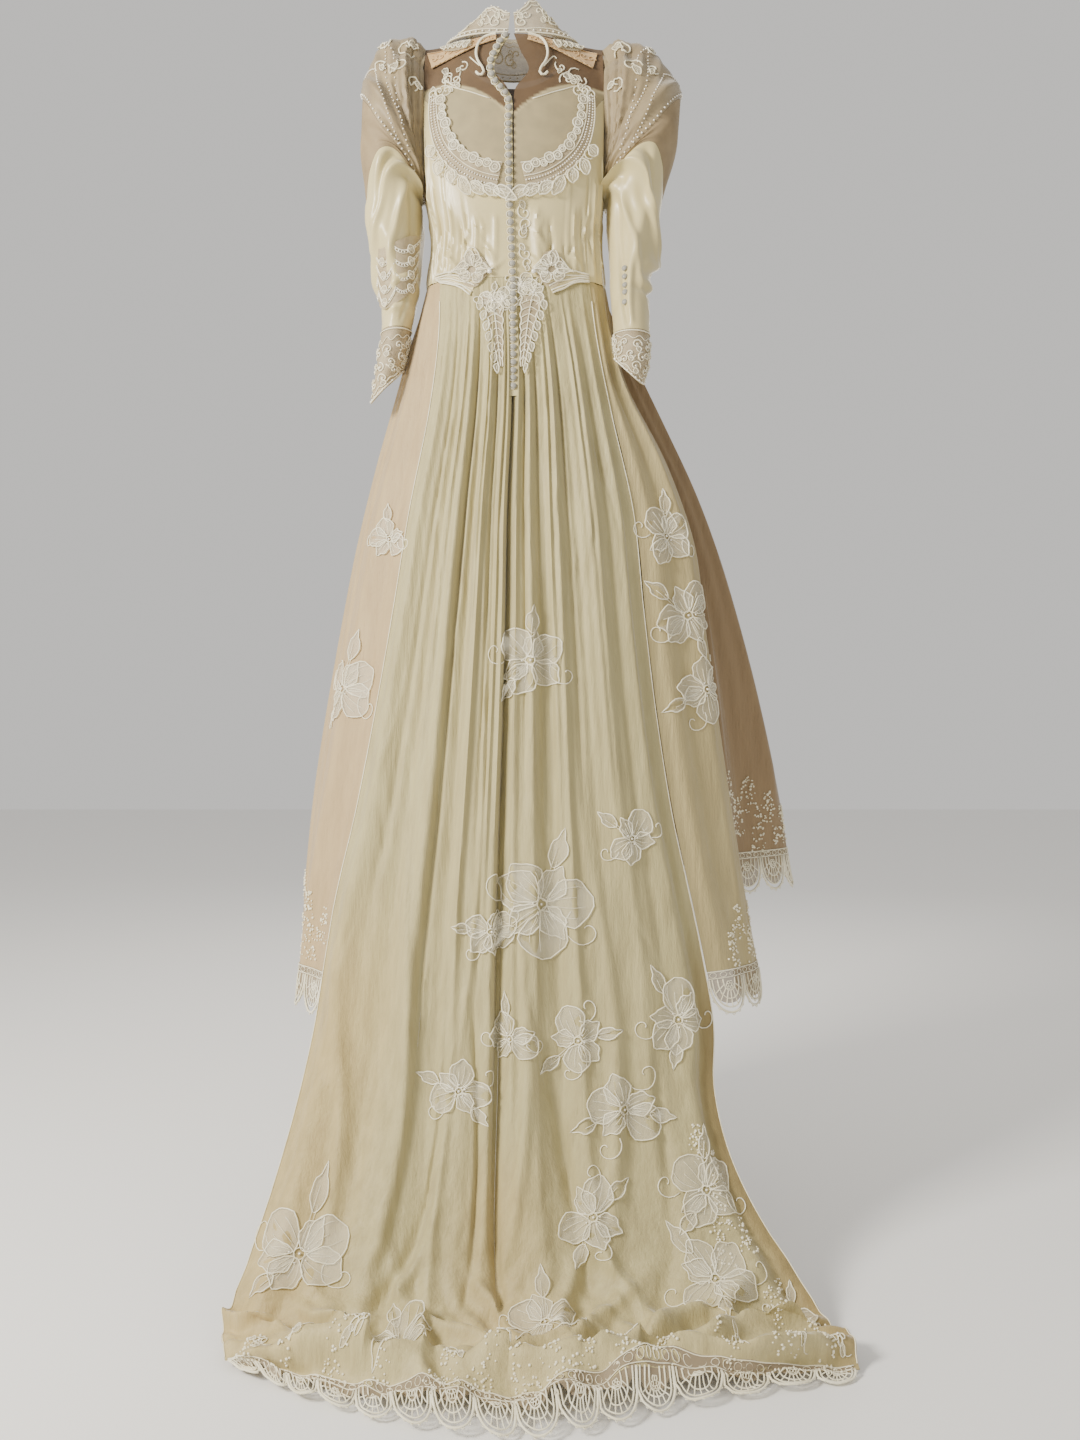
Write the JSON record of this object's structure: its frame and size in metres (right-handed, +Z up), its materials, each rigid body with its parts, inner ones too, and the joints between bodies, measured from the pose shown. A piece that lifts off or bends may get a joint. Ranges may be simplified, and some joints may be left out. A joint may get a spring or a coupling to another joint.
{
  "type": "wedding dress",
  "caption": "High-necked wedding dress seen from its buttoned back: net yoke with a keyhole, leg-of-mutton sleeves, lace trims and a long train that sweeps the floor",
  "frame": {"origin": "on the shoulder line at the middle of the neck, where the wearer's shoulders hold the dress up", "axes": "+Z up, +Y the way the wearer faces, +X to the wearer's right and the viewer's right from behind"},
  "size_m": [0.9411, 0.9553, 2.1607],
  "materials": {
    "satin": "ivory satin with a soft sheen",
    "organza": "sheer organza over a lining, matt with fine creases",
    "lined_skirt": "organza over tan lining, in shade",
    "net": "fine sheer net",
    "lace": "corded and beaded lace",
    "shoulder_lace": "peach lace with a scalloped edge",
    "covered_button": "cloth-covered buttons, grey cream"
  },
  "bodies": {
    "root": {"train_gore_left": "organza", "train_hem_lace_left": "lace", "train_gore_back_left": "organza", "train_hem_lace_back_left": "lace", "train_gore_back_right": "organza", "train_hem_lace_back_right": "lace", "train_gore_right": "organza", "train_hem_lace_right": "lace", "skirt_godet_right": "organza", "skirt_godet_right_hem_lace": "lace", "skirt_front": "lined_skirt", "skirt_front_hem_lace": "lace", "skirt_side_left": "lined_skirt", "skirt_side_left_hem_lace": "lace", "bodice_back_left": "satin", "yoke_back_left": "net", "bodice_side_left": "satin", "bodice_back_right": "satin", "yoke_back_right": "net", "bodice_side_right": "satin", "bodice_front": "satin", "yoke_front": "net", "collar": "lace", "neckline_lace_left": "lace", "shoulder_strip_left": "shoulder_lace", "collar_lobe_left": "lace", "waist_rosette_left": "lace", "waist_swag_left": "satin", "basque_lace_left": "lace", "neckline_lace_right": "lace", "shoulder_strip_right": "shoulder_lace", "collar_lobe_right": "lace", "waist_rosette_right": "lace", "waist_swag_right": "satin", "basque_lace_right": "lace", "button_strip": "satin", "buttons_keyhole": "covered_button", "buttons_bodice": "covered_button", "buttons_waist": "covered_button", "buttons_basque": "covered_button", "sleeve_puff_left": "organza", "sleeve_net_left": "net", "sleeve_satin_left": "satin", "cuff_lace_left": "lace", "sleeve_puff_right": "organza", "sleeve_net_right": "net", "sleeve_satin_right": "satin", "cuff_lace_right": "lace", "elbow_lace_left": "lace", "buttons_cuff_right": "covered_button", "keyhole_scroll_left": "lace", "keyhole_scroll_right": "lace"}
  },
  "joints": []
}
